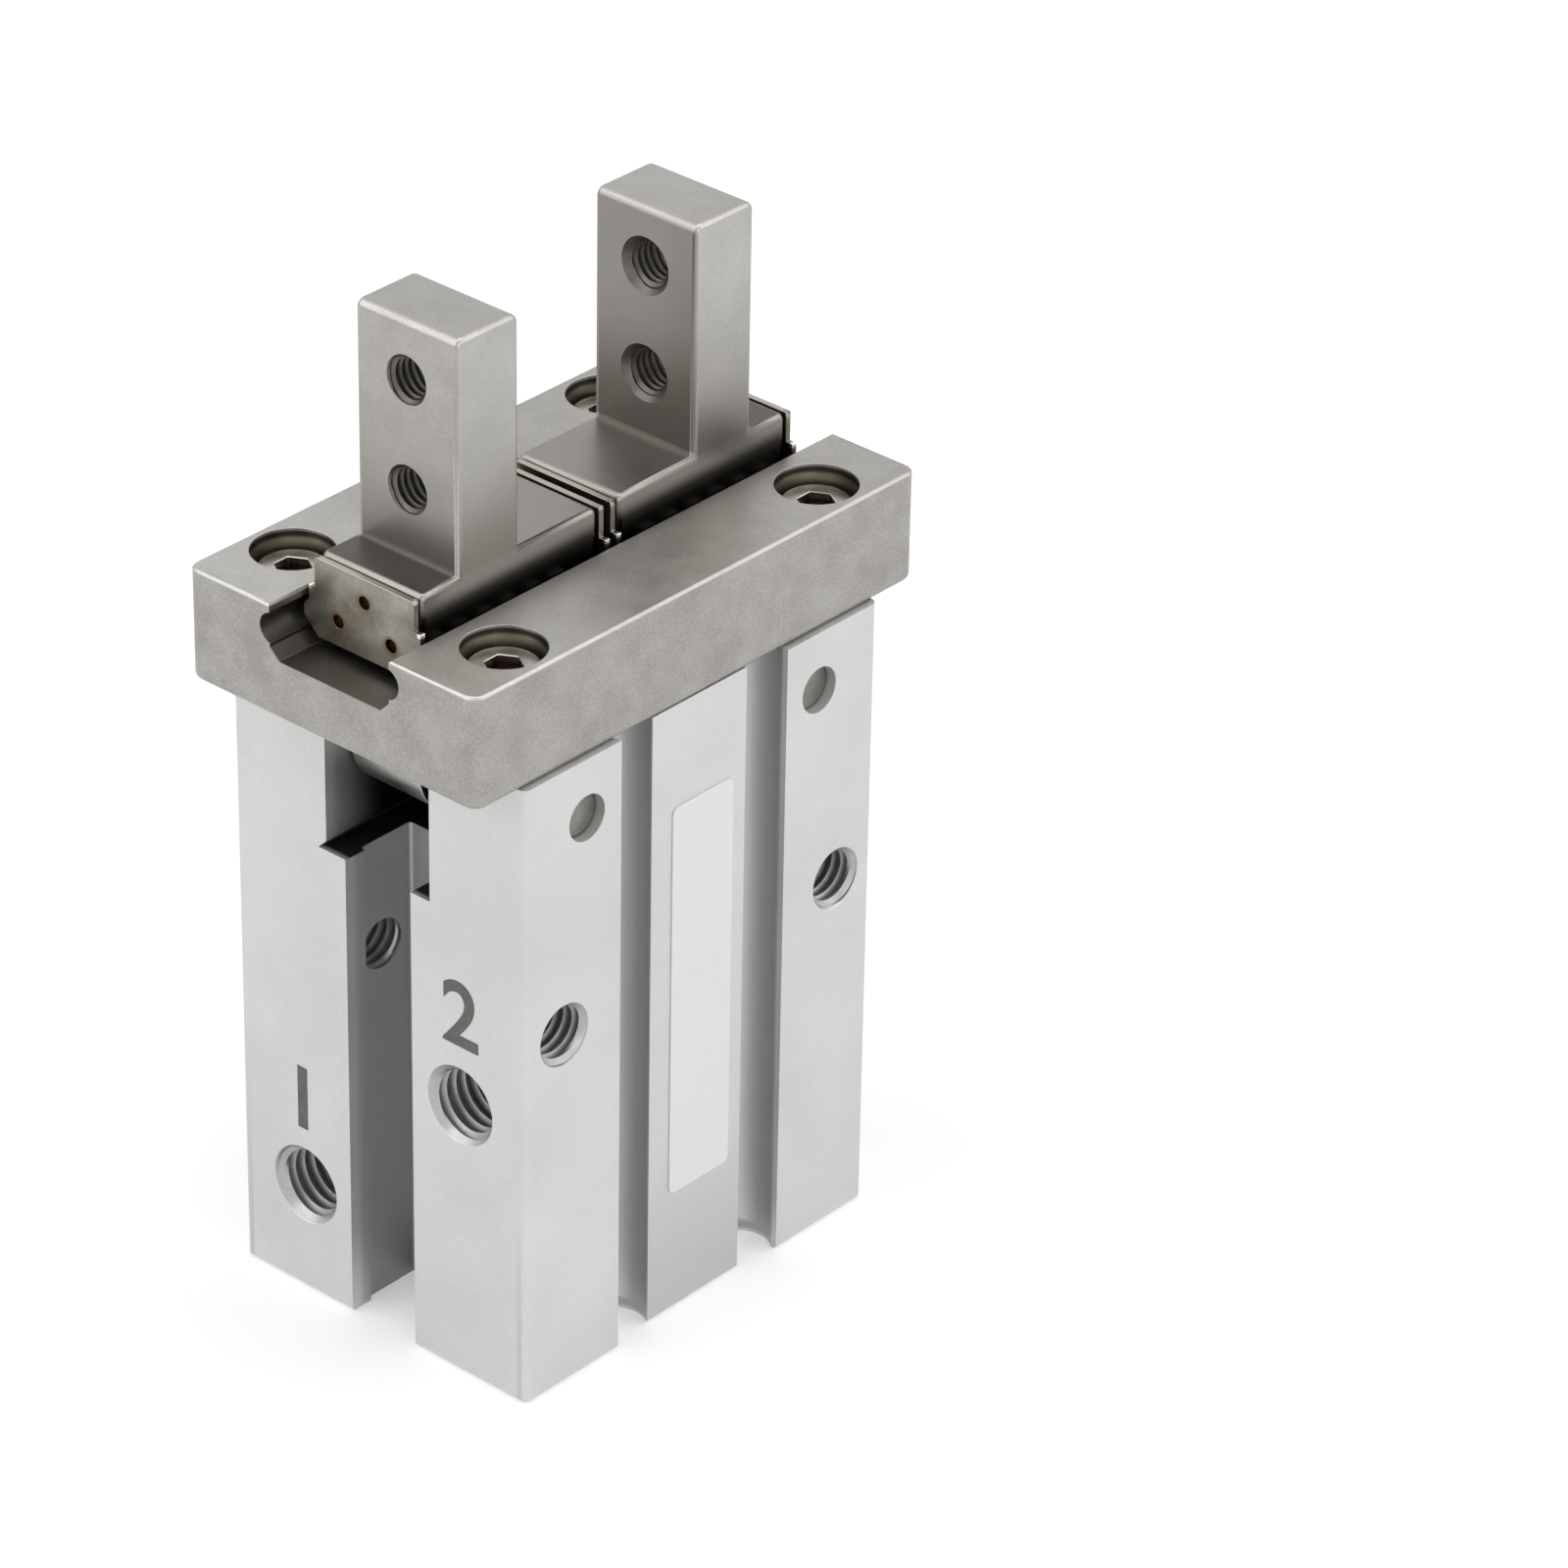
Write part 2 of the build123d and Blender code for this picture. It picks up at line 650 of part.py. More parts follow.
def nodes():
    """Every piece by name; identical fasteners and the balls of a row share one node."""
    left = {"finger": finger(), "finger_roller": finger_roller(), "outer_end_plate": outer_end_plate(),
            "inner_end_plate": inner_end_plate(), "front_balls": ball_row(-1), "back_balls": ball_row(1)}
    pieces = {"housing": housing(), "end_cap": end_cap(), "cap_gasket": cap_gasket(),
              "retaining_ring": retaining_ring(), "lower_bumper": lower_bumper(),
              "upper_bumper": upper_bumper(), "rod_seal": rod_seal(), "lever_shafts": lever_shafts(),
              "guide": guide(), "guide_screws": guide_screws(), "dowel_pins": dowel_pins(),
              "piston": piston(), "piston_seal": piston_seal(), "magnet_ring": magnet_ring(),
              "rod_rollers": rod_rollers(), "lever_left": left_lever(),
              "lever_right": mirror(mirrored(left_lever()), about=Plane.XZ)}
    for name, piece in left.items():
        group = piece if isinstance(piece, list) else [piece]
        pieces[name + "_left"] = piece
        pieces[name + "_right"] = [mirrored(solid) for solid in group]
    return pieces


os.makedirs("parts", exist_ok=True)
for name, piece in nodes().items():
    solids = piece if isinstance(piece, list) else [piece]
    export_step(Compound(solids) if len(solids) > 1 else solids[0], f"parts/{name}.step")
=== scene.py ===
import json
from math import atan2, cos, pi, radians, sin

import bmesh
import bpy
from mathutils import Matrix, Vector

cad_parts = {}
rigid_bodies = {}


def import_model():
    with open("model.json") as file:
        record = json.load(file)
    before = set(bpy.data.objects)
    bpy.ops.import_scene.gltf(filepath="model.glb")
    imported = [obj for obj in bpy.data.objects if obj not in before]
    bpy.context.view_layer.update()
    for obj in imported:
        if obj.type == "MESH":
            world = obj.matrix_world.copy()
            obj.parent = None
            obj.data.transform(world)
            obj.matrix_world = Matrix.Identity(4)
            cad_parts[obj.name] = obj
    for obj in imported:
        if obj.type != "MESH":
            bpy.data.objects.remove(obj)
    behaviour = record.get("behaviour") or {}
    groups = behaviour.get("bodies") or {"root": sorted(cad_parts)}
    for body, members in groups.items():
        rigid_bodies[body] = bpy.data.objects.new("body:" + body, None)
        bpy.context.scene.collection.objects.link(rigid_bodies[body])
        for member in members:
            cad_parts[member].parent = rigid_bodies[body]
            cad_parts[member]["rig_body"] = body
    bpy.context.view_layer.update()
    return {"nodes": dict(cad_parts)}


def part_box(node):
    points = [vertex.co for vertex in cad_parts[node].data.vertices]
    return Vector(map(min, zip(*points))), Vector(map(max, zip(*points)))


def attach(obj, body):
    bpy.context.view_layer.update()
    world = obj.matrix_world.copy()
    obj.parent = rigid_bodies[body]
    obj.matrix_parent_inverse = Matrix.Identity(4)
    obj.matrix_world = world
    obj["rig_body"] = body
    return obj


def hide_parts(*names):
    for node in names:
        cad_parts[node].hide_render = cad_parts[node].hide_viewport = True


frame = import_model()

# Pneumatic parallel gripper, closed. Metres, in the frame of the solids: +X along the fingers' travel,
# with the air ports on the -X face, +Y through the thickness, +Z up.

mm = 0.001

# Camera: where it looks from, and the pixel of the photograph that its aim falls on
view_azimuth = radians(-49.149)
view_elevation = radians(30.579)
view_roll = radians(-1.168)
photo_width = 1600
focal_pixels = 7117.9
sensor_width = 36
aim = Vector((0, 0, 40 * mm))
aim_pixel_x = 568.48
aim_pixel_y = 677.12
aim_distance = 412.45 * mm

# Faces and heights of the solids
housing_low, housing_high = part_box("housing")
guide_low, guide_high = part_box("guide")
finger_low, finger_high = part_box("finger_left")
port_face = housing_low.x
front_face = housing_low.y
back_face = housing_high.y
end_face = housing_high.x
groove_floor = 4.2 * mm
pocket_floor = housing_high.z - 10.4 * mm
pocket_half = 5.0 * mm
rib_inset = 0.45 * mm
guide_corner = 0.9 * mm
channel_floor = guide_low.z + 3.9 * mm
channel_half = 5.7 * mm
base_top = guide_high.z + 2.4 * mm
finger_half = 4 * mm
ledge_end = -finger_low.x
screw_x = 13.4 * mm
screw_y = 8.4 * mm
screw_hole = 2.65 * mm
screw_head_radius = 2.25 * mm
screw_head_drop = 1.1 * mm
screw_socket_reach = 1.25 * mm
screw_ridges = 36
# Each small hole of an end plate: its distance from the middle, and its drop from the top of the base
plate_holes = ((0, 1.7 * mm), (2.1 * mm, 3.7 * mm))

# Tapped holes, as the solids have them
open_port = Vector((port_face, 6.5 * mm, 7.5 * mm))
close_port = Vector((port_face, -6.5 * mm, 19 * mm))
port_core = 2.1 * mm
port_mouth = 2.65 * mm
port_depth = 5 * mm
port_pitch = 0.8 * mm
mount_core = 1.65 * mm
mount_mouth = 2.05 * mm
mount_pitch = 0.7 * mm
mount_x = 12 * mm
mount_y = 6.5 * mm
side_mount_height = 24.7 * mm
side_mount_depth = 8.8 * mm
bottom_mount_depth = 8 * mm
jaw_core = 1.25 * mm
jaw_inner_mouth = 1.85 * mm
jaw_outer_mouth = 1.55 * mm
jaw_thread_pitch = 0.5 * mm
jaw_inner_face = 7.45 * mm
jaw_thickness = 5 * mm
jaw_heights = (63.5 * mm, 56.5 * mm)
thread_height_share = 0.52
wall_end = 0.03 * mm
wall_spare = 0.05 * mm
rim_spread = 0.3 * mm
# Each corner of a thread: how far along the pitch it is, and its share of the thread's height
thread_profile = ((0, 0), (0.25, 0), (0.354, 0.333), (0.458, 0.667), (0.5625, 1), (0.6875, 1), (0.792, 0.667),
                  (0.896, 0.333))

# Welding, smoothing and breaking of edges
weld_distance = 0.001 * mm
thread_weld_distance = 0.0005 * mm
flat_angle = radians(0.5)
smooth_angle = radians(32)
hard_angle = radians(35)
face_band = 0.05 * mm
crisp_share = 0.4
sheet_share = 0.1
tip_band = 0.1 * mm
finger_short_edge = 0.4 * mm
guide_long_edge = 2 * mm
counterbore_reach = 3 * mm
plate_corner_band = 0.3 * mm
plate_corner_y = 2 * mm

# Label on the rib, and the port marks
label_left = -2.3 * mm
label_right = 3.0 * mm
label_bottom = 8.5 * mm
label_top = 35.6 * mm
label_face = front_face + rib_inset
label_thickness = 0.08 * mm
label_corner = 0.5 * mm
label_edge = 0.02 * mm
mark_height = 4.3 * mm
figure_share = 0.7
mark_thickness = 0.02 * mm
mark_weight = 0.1 * mm
open_mark = (6.6 * mm, 13.5 * mm)
close_mark = (-6.6 * mm, 25.1 * mm)

# Noise in the finishes
cloud_contrast = 2.2
speck_gain = 3.0
coarse_scale = 0.35
coarse_share = 0.4


# Mesh helpers

def add_piece(name, bm, materials, body):
    """Turns a bmesh into a piece that rides on a body, smooth except where faces meet at a clear angle."""
    mesh = bpy.data.meshes.new(name)
    bm.to_mesh(mesh)
    bm.free()
    piece = bpy.data.objects.new(name, mesh)
    bpy.context.scene.collection.objects.link(piece)
    for material in materials:
        mesh.materials.append(material)
    for face in mesh.polygons:
        face.use_smooth = True
    mesh.set_sharp_from_angle(angle=smooth_angle)
    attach(piece, body)
    return piece


def mark_hard_edges(bm, wear=None):
    """Gives every hard edge the weight that the Bevel modifier reads, by a rule for the solid or in full."""
    weight = bm.edges.layers.float.new("bevel_weight_edge")
    for edge in bm.edges:
        if edge.is_manifold and edge.calc_face_angle() > hard_angle:
            edge[weight] = wear(edge) if wear else 1


def break_edges(piece, width, segments=2):
    """Rounds the marked edges of a piece."""
    bevel = piece.modifiers.new("broken edges", "BEVEL")
    bevel.width = width
    bevel.segments = segments
    bevel.limit_method = "WEIGHT"
    bevel.harden_normals = True


class TappedHole:
    """A tapped hole of a solid: the middle of its mouth, the way in, and the sizes of its wall."""

    def __init__(self, mouth, inward, core, mouth_radius, pitch, depth, exit_radius=0):
        self.core = core
        self.mouth_radius = mouth_radius
        self.pitch = pitch
        self.depth = depth
        self.exit_radius = exit_radius
        turned = Vector(inward).to_track_quat("Z", "Y").to_matrix().to_4x4()
        self.place = Matrix.Translation(mouth) @ turned
        self.local = self.place.inverted()

    def measure(self, vert):
        """The height of a vertex above the mouth, and its distance from the hole's axis."""
        at = self.local @ vert.co
        return at.z, Vector((at.x, at.y)).length

    def is_wall(self, face):
        heights, radii = zip(*[self.measure(vert) for vert in face.verts])
        between = min(heights) > -wall_spare and max(heights) < self.depth + rim_spread
        around = min(radii) > self.core - wall_spare and max(radii) < self.mouth_radius + wall_spare
        return between and around and max(heights) - min(heights) > wall_spare

    def is_rim(self, edge, end):
        measured = [self.measure(vert) for vert in edge.verts]
        reach = self.mouth_radius + wall_spare
        return edge.is_boundary and all(abs(height - end) < rim_spread and radius < reach
                                        for height, radius in measured)

    def threaded_wall(self, steps, start):
        """A helical groove between the two lead-ins, in so many steps around from a starting angle."""
        bm = bmesh.new()
        below = None
        for turn in range(-1, int(self.depth / self.pitch) + 2):
            for phase, share in thread_profile:
                radius = self.core + share * thread_height_share * self.pitch
                vert = bm.verts.new((radius * cos(start), radius * sin(start), (turn + phase) * self.pitch))
                if below:
                    bm.edges.new((below, vert))
                below = vert
        bmesh.ops.spin(bm, geom=bm.verts[:] + bm.edges[:], cent=(0, 0, 0), axis=(0, 0, 1),
                       dvec=(0, 0, self.pitch / steps), angle=2 * pi, steps=steps)
        for vert in bm.verts:
            radius = Vector((vert.co.x, vert.co.y)).length
            height = min(max(vert.co.z, wall_end), self.depth - wall_end)
            left = self.depth - height
            if self.exit_radius:
                wanted = max(radius, self.mouth_radius - height, self.exit_radius - left)
            else:
                run_out = min((left - wall_end) / self.pitch, 1)
                wanted = max(self.core + (radius - self.core) * run_out, self.mouth_radius - height)
            vert.co = (vert.co.x * wanted / radius, vert.co.y * wanted / radius, height)
        bmesh.ops.remove_doubles(bm, verts=bm.verts, dist=thread_weld_distance)
        for face in bm.faces:
            face.material_index = 1
        bm.transform(self.place)
        return bm


def tap(bm, hole):
    """Gives a plain hole of a solid its threaded wall, in the piece's second material."""
    bmesh.ops.delete(bm, geom=[face for face in bm.faces if hole.is_wall(face)], context="FACES")
    mouth_rim = [edge for edge in bm.edges if hole.is_rim(edge, 0)]
    corner = hole.local @ mouth_rim[0].verts[0].co
    wall = hole.threaded_wall(len(mouth_rim), atan2(corner.y, corner.x))
    drawn = bpy.data.meshes.new("wall")
    wall.to_mesh(drawn)
    wall.free()
    bm.from_mesh(drawn)
    bpy.data.meshes.remove(drawn)
    weight = bm.edges.layers.float["bevel_weight_edge"]
    for end in (0, hole.depth):
        rim = [edge for edge in bm.edges if hole.is_rim(edge, end)]
        for edge in rim:
            edge[weight] = 0
        bmesh.ops.bridge_loops(bm, edges=rim)


def dress(node, name, materials, edge=0.0, segments=2, holes=(), wear=None):
    """Puts a welded copy of a solid in its place, with its hard edges broken and its holes threaded."""
    source = frame["nodes"][node]
    bm = bmesh.new()
    bm.from_mesh(source.data)
    bmesh.ops.remove_doubles(bm, verts=bm.verts, dist=weld_distance)
    bmesh.ops.dissolve_limit(bm, angle_limit=flat_angle, verts=bm.verts, edges=bm.edges)
    mark_hard_edges(bm, wear)
    for hole in holes:
        tap(bm, hole)
    if holes:
        bmesh.ops.recalc_face_normals(bm, faces=bm.faces)
    piece = add_piece(name, bm, materials, source["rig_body"])
    if edge:
        break_edges(piece, edge, segments=segments)
    flatten = piece.modifiers.new("flat faces stay flat", "WEIGHTED_NORMAL")
    flatten.keep_sharp = True
    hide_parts(node)


# Shader groups

def new_group(name, inputs, outputs):
    """An empty node group with named sockets; its input and output nodes come with it."""
    group = bpy.data.node_groups.new(name, "ShaderNodeTree")
    for kind, socket in inputs:
        group.interface.new_socket(socket, in_out="INPUT", socket_type=kind)
    for kind, socket in outputs:
        group.interface.new_socket(socket, in_out="OUTPUT", socket_type=kind)
    return group, group.nodes.new("NodeGroupInput"), group.nodes.new("NodeGroupOutput")


def noise(tree, vector, scale, detail, roughness):
    node = tree.nodes.new("ShaderNodeTexNoise")
    tree.links.new(vector, node.inputs["Vector"])
    tree.links.new(scale, node.inputs["Scale"])
    node.inputs["Detail"].default_value = detail
    node.inputs["Roughness"].default_value = roughness
    return node.outputs["Fac"]


def math(tree, operation, a, b=None, clamp=False):
    node = tree.nodes.new("ShaderNodeMath")
    node.operation = operation
    node.use_clamp = clamp
    for socket, value in zip(node.inputs, (a, b)):
        if value is None:
            continue
        if isinstance(value, (int, float)):
            socket.default_value = value
        else:
            tree.links.new(value, socket)
    return node.outputs[0]


def blend_colour(tree, factor, a, b):
    """Mixes two colours; the mix node tells its colour sockets from its others only by their order."""
    node = tree.nodes.new("ShaderNodeMix")
    node.data_type = "RGBA"
    tree.links.new(factor, node.inputs["Factor"])
    tree.links.new(a, node.inputs[6])
    tree.links.new(b, node.inputs[7])
    return node.outputs[2]


def rgb(red, green, blue):
    return red, green, blue, 1


def make_grain_group():
    """Fine isotropic grain: blasted, tumbled or anodised metal."""
    group, given, result = new_group("fine grain", [
        ("NodeSocketVector", "Place"), ("NodeSocketFloat", "Grain Size")],
        [("NodeSocketFloat", "Height")])
    scale = math(group, "DIVIDE", 1.0, given.outputs["Grain Size"])
    fine = noise(group, given.outputs["Place"], scale, detail=3.0, roughness=0.6)
    coarse = noise(group, given.outputs["Place"], math(group, "MULTIPLY", scale, coarse_scale), detail=2.0,
                   roughness=0.5)
    total = math(group, "ADD", math(group, "MULTIPLY", fine, 1 - coarse_share),
                 math(group, "MULTIPLY", coarse, coarse_share))
    group.links.new(total, result.inputs["Height"])
    return group


def make_mottle_group():
    """Cloudy variation between two colours, with small pale or dark specks over it."""
    group, given, result = new_group("mottle", [
        ("NodeSocketVector", "Place"), ("NodeSocketFloat", "Cloud Size"),
        ("NodeSocketFloat", "Speck Size"), ("NodeSocketFloat", "Speck Strength"),
        ("NodeSocketColor", "Dark"), ("NodeSocketColor", "Light")],
        [("NodeSocketColor", "Color"), ("NodeSocketFloat", "Value")])
    place = given.outputs["Place"]
    cloud = noise(group, place, math(group, "DIVIDE", 1.0, given.outputs["Cloud Size"]), detail=3.0,
                  roughness=0.5)
    speck = noise(group, place, math(group, "DIVIDE", 1.0, given.outputs["Speck Size"]), detail=2.0,
                  roughness=0.5)
    speck = math(group, "MULTIPLY", math(group, "SUBTRACT", speck, 0.5), given.outputs["Speck Strength"])
    stretched = math(group, "MULTIPLY", math(group, "SUBTRACT", cloud, 0.5), cloud_contrast)
    stretched = math(group, "ADD", stretched, 0.5)
    value = math(group, "ADD", stretched, math(group, "MULTIPLY", speck, speck_gain), clamp=True)
    colour = blend_colour(group, value, given.outputs["Dark"], given.outputs["Light"])
    group.links.new(colour, result.inputs["Color"])
    group.links.new(value, result.inputs["Value"])
    return group


def make_lines_group():
    """Long fine scratches of a brushed, ground or extruded surface, along the stretched axis of the place."""
    group, given, result = new_group("fine lines", [
        ("NodeSocketVector", "Place"), ("NodeSocketVector", "Stretch"), ("NodeSocketFloat", "Line Width")],
        [("NodeSocketFloat", "Height")])
    scaled = group.nodes.new("ShaderNodeVectorMath")
    scaled.operation = "MULTIPLY"
    group.links.new(given.outputs["Place"], scaled.inputs[0])
    group.links.new(given.outputs["Stretch"], scaled.inputs[1])
    scale = math(group, "DIVIDE", 1.0, given.outputs["Line Width"])
    lines = noise(group, scaled.outputs[0], scale, detail=3.0, roughness=0.6)
    group.links.new(lines, result.inputs["Height"])
    return group


def make_depth_group():
    """Blends a colour smoothly into another one while a depth goes from its start to its end."""
    group, given, result = new_group("tone by depth", [
        ("NodeSocketColor", "Color"), ("NodeSocketColor", "Inside"), ("NodeSocketFloat", "Depth"),
        ("NodeSocketFloat", "Start"), ("NodeSocketFloat", "End")],
        [("NodeSocketColor", "Color")])
    ramp = group.nodes.new("ShaderNodeMapRange")
    ramp.interpolation_type = "SMOOTHSTEP"
    for name, socket in (("Depth", "Value"), ("Start", "From Min"), ("End", "From Max")):
        group.links.new(given.outputs[name], ramp.inputs[socket])
    colour = blend_colour(group, ramp.outputs["Result"], given.outputs["Color"], given.outputs["Inside"])
    group.links.new(colour, result.inputs["Color"])
    return group


grain_group = make_grain_group()
mottle_group = make_mottle_group()
lines_group = make_lines_group()
depth_group = make_depth_group()


class Finish:
    """A material under construction: its tree, its Principled shader and the piece's own coordinates."""

    def __init__(self, name, roughness, metallic=1.0):
        self.material = bpy.data.materials.new(name)
        self.material.use_nodes = True
        self.tree = self.material.node_tree
        self.shader = self.tree.nodes["Principled BSDF"]
        self.shader.inputs["Metallic"].default_value = metallic
        self.shader.inputs["Roughness"].default_value = roughness
        self.place = self.tree.nodes.new("ShaderNodeTexCoord").outputs["Object"]

    def group(self, group, **values):
        node = self.tree.nodes.new("ShaderNodeGroup")
        node.node_tree = group
        self.tree.links.new(self.place, node.inputs["Place"])
        for socket, value in values.items():
            node.inputs[socket.replace("_", " ")].default_value = value
        return node

    def clouds(self, dark, light, cloud, speck, strength):
        """The outputs of a mottle: its colour, and the value that the colour follows."""
        return self.group(mottle_group, Cloud_Size=cloud, Speck_Size=speck, Speck_Strength=strength,
                          Dark=dark, Light=light).outputs

    def mottle(self, dark, light, cloud, speck, strength):
        """Starts the base colour with a mottle, and gives its value for other uses."""
        outputs = self.clouds(dark, light, cloud, speck, strength)
        self.tree.links.new(outputs["Color"], self.shader.inputs["Base Color"])
        return outputs["Value"]

    def from_middle(self, axis):
        """How far a point is from the middle plane across an axis."""
        return math(self.tree, "ABSOLUTE", self.along(axis))

    def along(self, axis):
        node = self.tree.nodes.new("ShaderNodeSeparateXYZ")
        self.tree.links.new(self.place, node.inputs[0])
        return node.outputs[axis]

    def from_axis(self, x, y):
        """How far a point is from the nearest of four upright axes."""
        return self.distance(math(self.tree, "SUBTRACT", self.from_middle("X"), x),
                             math(self.tree, "SUBTRACT", self.from_middle("Y"), y))

    def from_rod(self, y, z):
        """How far a point is from the nearest of two lines along X, or from one on the middle plane."""
        return self.distance(math(self.tree, "SUBTRACT", self.from_middle("Y"), y),
                             math(self.tree, "SUBTRACT", self.along("Z"), z))

    def distance(self, first, second):
        square = math(self.tree, "ADD", math(self.tree, "MULTIPLY", first, first),
                      math(self.tree, "MULTIPLY", second, second))
        return math(self.tree, "SQRT", square)

    def beyond(self, value, limit, slope=1.0):
        """How far a value is past a limit, times a slope."""
        return math(self.tree, "MULTIPLY", math(self.tree, "SUBTRACT", value, limit), slope)

    def least(self, first, *others):
        for other in others:
            first = math(self.tree, "MINIMUM", first, other)
        return first

    def tone(self, inside, depth, start, end):
        """Blends the base colour so far towards another tone, plain or clouded, where the depth says."""
        node = self.tree.nodes.new("ShaderNodeGroup")
        node.node_tree = depth_group
        base = self.shader.inputs["Base Color"]
        self.tree.links.new(base.links[0].from_socket, node.inputs["Color"])
        if isinstance(inside, tuple):
            node.inputs["Inside"].default_value = inside
        else:
            self.tree.links.new(inside, node.inputs["Inside"])
        node.inputs["Start"].default_value = start
        node.inputs["End"].default_value = end
        self.tree.links.new(depth, node.inputs["Depth"])
        self.tree.links.new(node.outputs["Color"], base)

    def vary_roughness(self, value, low, high):
        node = self.tree.nodes.new("ShaderNodeMapRange")
        node.inputs["To Min"].default_value = low
        node.inputs["To Max"].default_value = high
        self.tree.links.new(value, node.inputs["Value"])
        self.tree.links.new(node.outputs["Result"], self.shader.inputs["Roughness"])

    def bump(self, height, depth):
        node = self.tree.nodes.new("ShaderNodeBump")
        node.inputs["Distance"].default_value = depth
        node.inputs["Strength"].default_value = 1.0
        self.tree.links.new(height, node.inputs["Height"])
        self.tree.links.new(node.outputs["Normal"], self.shader.inputs["Normal"])

    def grain(self, size, depth):
        self.bump(self.group(grain_group, Grain_Size=size).outputs["Height"], depth)

    def scratches(self, stretch, width, depth):
        lines = self.group(lines_group, Stretch=stretch, Line_Width=width)
        self.bump(lines.outputs["Height"], depth)


# Materials

def anodised_aluminium():
    """Blasted and clear anodised, with painted shade in the slots and grooves, painted shade that turns the
    lever pocket black, painted light on the groove floors, and painted shade low in the slots and on the rib.
    """
    finish = Finish("matte anodised aluminium", roughness=0.48, metallic=0.8)
    value = finish.mottle(rgb(0.575, 0.577, 0.57), rgb(0.64, 0.642, 0.635), cloud=7 * mm, speck=0.2 * mm,
                          strength=0.5)
    finish.vary_roughness(value, low=0.46, high=0.54)
    from_end = finish.beyond(finish.from_middle("X"), end_face, slope=-1)
    from_side = finish.beyond(finish.from_middle("Y"), back_face, slope=-1)
    height = finish.along("Z")
    deep = finish.least(from_end, from_side, finish.beyond(height, 0, slope=3),
                        finish.beyond(height, housing_high.z, slope=-3))
    # Painted shade: faces more than half a millimetre inside the slots and grooves are darkened.
    finish.tone(rgb(0.48, 0.48, 0.473), deep, start=0.5 * mm, end=1.2 * mm)
    # Painted shade on the shallow walls of the grooves, and painted light on their deep floors.
    in_groove = finish.least(from_side, finish.beyond(from_side, groove_floor, slope=-10),
                             finish.beyond(from_end, 0, slope=5),
                             finish.beyond(height, 0, slope=3),
                             finish.beyond(height, housing_high.z, slope=-3))
    finish.tone(rgb(0.43, 0.43, 0.424), in_groove, start=0.5 * mm, end=1.0 * mm)
    finish.tone(rgb(0.70, 0.70, 0.692), in_groove, start=1.8 * mm, end=3.2 * mm)
    # Painted shade: the lever pocket goes black inward from its mouth.
    in_pocket = finish.least(finish.beyond(from_end, -1 * mm), finish.beyond(from_end, 0.05 * mm, slope=50),
                             finish.beyond(height, pocket_floor - 0.2 * mm, slope=10),
                             finish.beyond(finish.from_middle("Y"), pocket_half, slope=-10))
    finish.tone(rgb(0.008, 0.008, 0.008), in_pocket, start=0.2 * mm, end=5.9 * mm)
    # Painted shade on the ledge at the pocket floor.
    on_ledge = finish.least(finish.beyond(from_end, 0.05 * mm, slope=2),
                            finish.beyond(height, pocket_floor - 0.1 * mm, slope=10),
                            finish.beyond(height, pocket_floor + 0.15 * mm, slope=-10),
                            finish.beyond(finish.from_middle("Y"), pocket_half, slope=-3))
    finish.tone(rgb(0.03, 0.03, 0.03), on_ledge, start=0.2 * mm, end=0.9 * mm)
    # Painted shade low in the slots.
    low_in_slot = finish.least(finish.beyond(height, 7 * mm, slope=-1),
                               finish.beyond(from_end, 0.5 * mm, slope=4),
                               finish.beyond(from_side, groove_floor, slope=10))
    finish.tone(rgb(0.33, 0.33, 0.325), low_in_slot, start=0.5 * mm, end=7 * mm)
    # Painted shade: the rib face darkens towards the floor.
    low_on_rib = finish.least(finish.beyond(from_side, 0.3 * mm, slope=100),
                              finish.beyond(from_side, 0.8 * mm, slope=-100),
                              finish.beyond(height, 16 * mm, slope=-1))
    finish.tone(rgb(0.52, 0.52, 0.513), low_on_rib, start=0.0, end=14 * mm)
    finish.grain(size=0.11 * mm, depth=0.012 * mm)
    return finish.material


